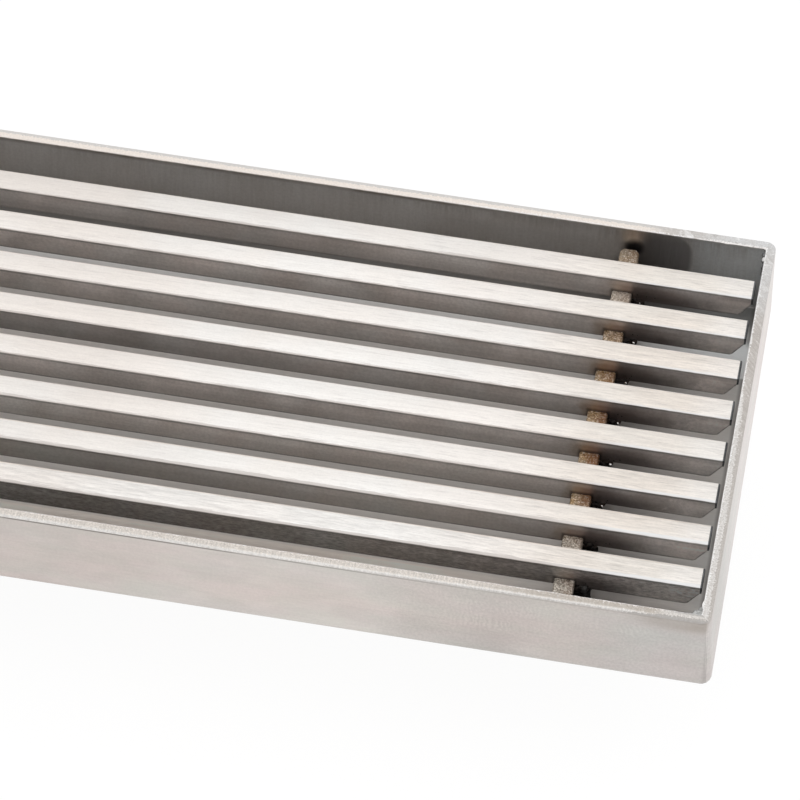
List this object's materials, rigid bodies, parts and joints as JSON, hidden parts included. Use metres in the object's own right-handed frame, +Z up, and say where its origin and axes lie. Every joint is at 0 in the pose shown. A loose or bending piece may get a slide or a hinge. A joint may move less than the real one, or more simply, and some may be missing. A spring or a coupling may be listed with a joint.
{
  "type": "linear shower drain",
  "caption": "Long shallow stainless steel tray with a lift-out grate of straight bars and a round outlet spigot underneath, set in a floor to drain a shower.",
  "frame": {"origin": "on the outlet spigot's axis, at its free end, which is the middle of the part's lowest face", "axes": "+X along the tray, +Y across it, +Z up out of the grate"},
  "size_m": [0.6016, 0.1, 0.05],
  "materials": {
    "tray_steel": "satin stainless sheet, rim ground bare, corner seams welded and ground",
    "bar_steel": "stainless bar, tops brushed lengthwise, sides dull with heat tint beside the welds",
    "support_steel": "rough granular stainless bar, straw to brown heat tint, bare weld fillets",
    "spigot_steel": "plain satin stainless tube"
  },
  "bodies": {
    "root": {"channel_tray": "tray_steel", "outlet_spigot": "spigot_steel", "grate_bar_1": "bar_steel", "grate_bar_2": "bar_steel", "grate_bar_3": "bar_steel", "grate_bar_4": "bar_steel", "grate_bar_5": "bar_steel", "grate_bar_6": "bar_steel", "grate_bar_7": "bar_steel", "grate_bar_8": "bar_steel", "support_bar_1": "support_steel", "support_bar_2": "support_steel", "support_bar_3": "support_steel", "support_bar_4": "support_steel"}
  },
  "joints": []
}
